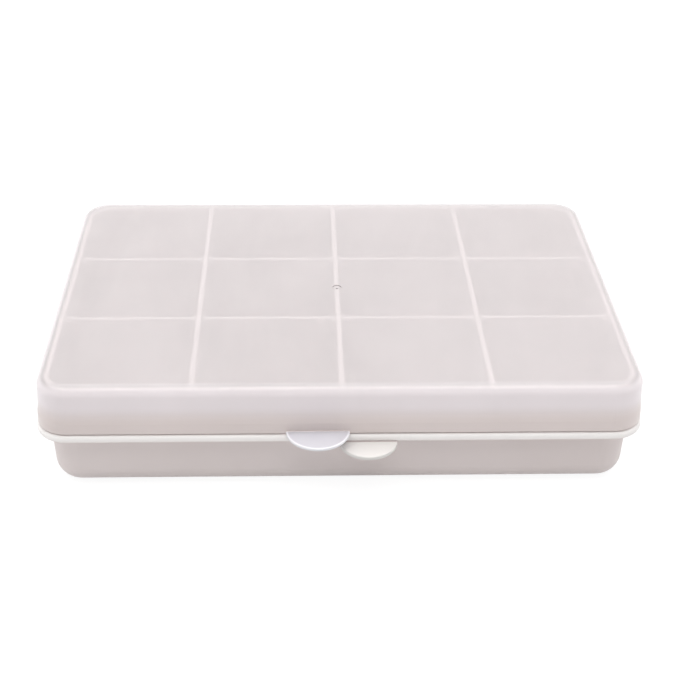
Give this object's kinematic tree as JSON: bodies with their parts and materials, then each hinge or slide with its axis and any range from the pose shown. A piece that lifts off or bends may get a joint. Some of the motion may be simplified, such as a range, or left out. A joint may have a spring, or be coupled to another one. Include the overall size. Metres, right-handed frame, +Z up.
{
  "type": "kids snack box",
  "caption": "Shallow snack box with a hinged see-through lid, offset thumb tabs, long moulded walls and short lift-out dividers that make small food compartments.",
  "frame": {"origin": "middle of the flat underside of the tray", "axes": "+X to the right seen from the front, +Y from the thumb tabs to the hinge at the back, +Z up through the lid"},
  "size_m": [0.241, 0.186, 0.0495],
  "materials": {
    "tray_plastic": "satin, warm grey-beige, opaque",
    "divider_plastic": "satin, warm grey-beige, opaque",
    "lid_plastic": "frosted, see-through, slightly cool white"
  },
  "bodies": {
    "tray": {"tray": "tray_plastic"},
    "lid": {"lid": "lid_plastic"},
    "divider_front_1": {"divider_front_1": "divider_plastic"},
    "divider_front_2": {"divider_front_2": "divider_plastic"},
    "divider_front_3": {"divider_front_3": "divider_plastic"},
    "divider_front_4": {"divider_front_4": "divider_plastic"},
    "divider_back_1": {"divider_back_1": "divider_plastic"},
    "divider_back_2": {"divider_back_2": "divider_plastic"},
    "divider_back_3": {"divider_back_3": "divider_plastic"},
    "divider_back_4": {"divider_back_4": "divider_plastic"}
  },
  "joints": [
    {"name": "lid_hinge", "type": "hinge", "parent": "tray", "child": "lid", "pos_m": [0, 0.088, 0.0265], "axis": [-1, 0, 0], "range_deg": [0, 180]},
    {"name": "divider_front_1_lift", "type": "slide", "parent": "tray", "child": "divider_front_1", "axis": [0, 0, 1], "range_m": [0, 0.0006]},
    {"name": "divider_front_2_lift", "type": "slide", "parent": "tray", "child": "divider_front_2", "axis": [0, 0, 1], "range_m": [0, 0.0006]},
    {"name": "divider_front_3_lift", "type": "slide", "parent": "tray", "child": "divider_front_3", "axis": [0, 0, 1], "range_m": [0, 0.0006]},
    {"name": "divider_front_4_lift", "type": "slide", "parent": "tray", "child": "divider_front_4", "axis": [0, 0, 1], "range_m": [0, 0.0006]},
    {"name": "divider_back_1_lift", "type": "slide", "parent": "tray", "child": "divider_back_1", "axis": [0, 0, 1], "range_m": [0, 0.0006]},
    {"name": "divider_back_2_lift", "type": "slide", "parent": "tray", "child": "divider_back_2", "axis": [0, 0, 1], "range_m": [0, 0.0006]},
    {"name": "divider_back_3_lift", "type": "slide", "parent": "tray", "child": "divider_back_3", "axis": [0, 0, 1], "range_m": [0, 0.0006]},
    {"name": "divider_back_4_lift", "type": "slide", "parent": "tray", "child": "divider_back_4", "axis": [0, 0, 1], "range_m": [0, 0.0006]}
  ]
}
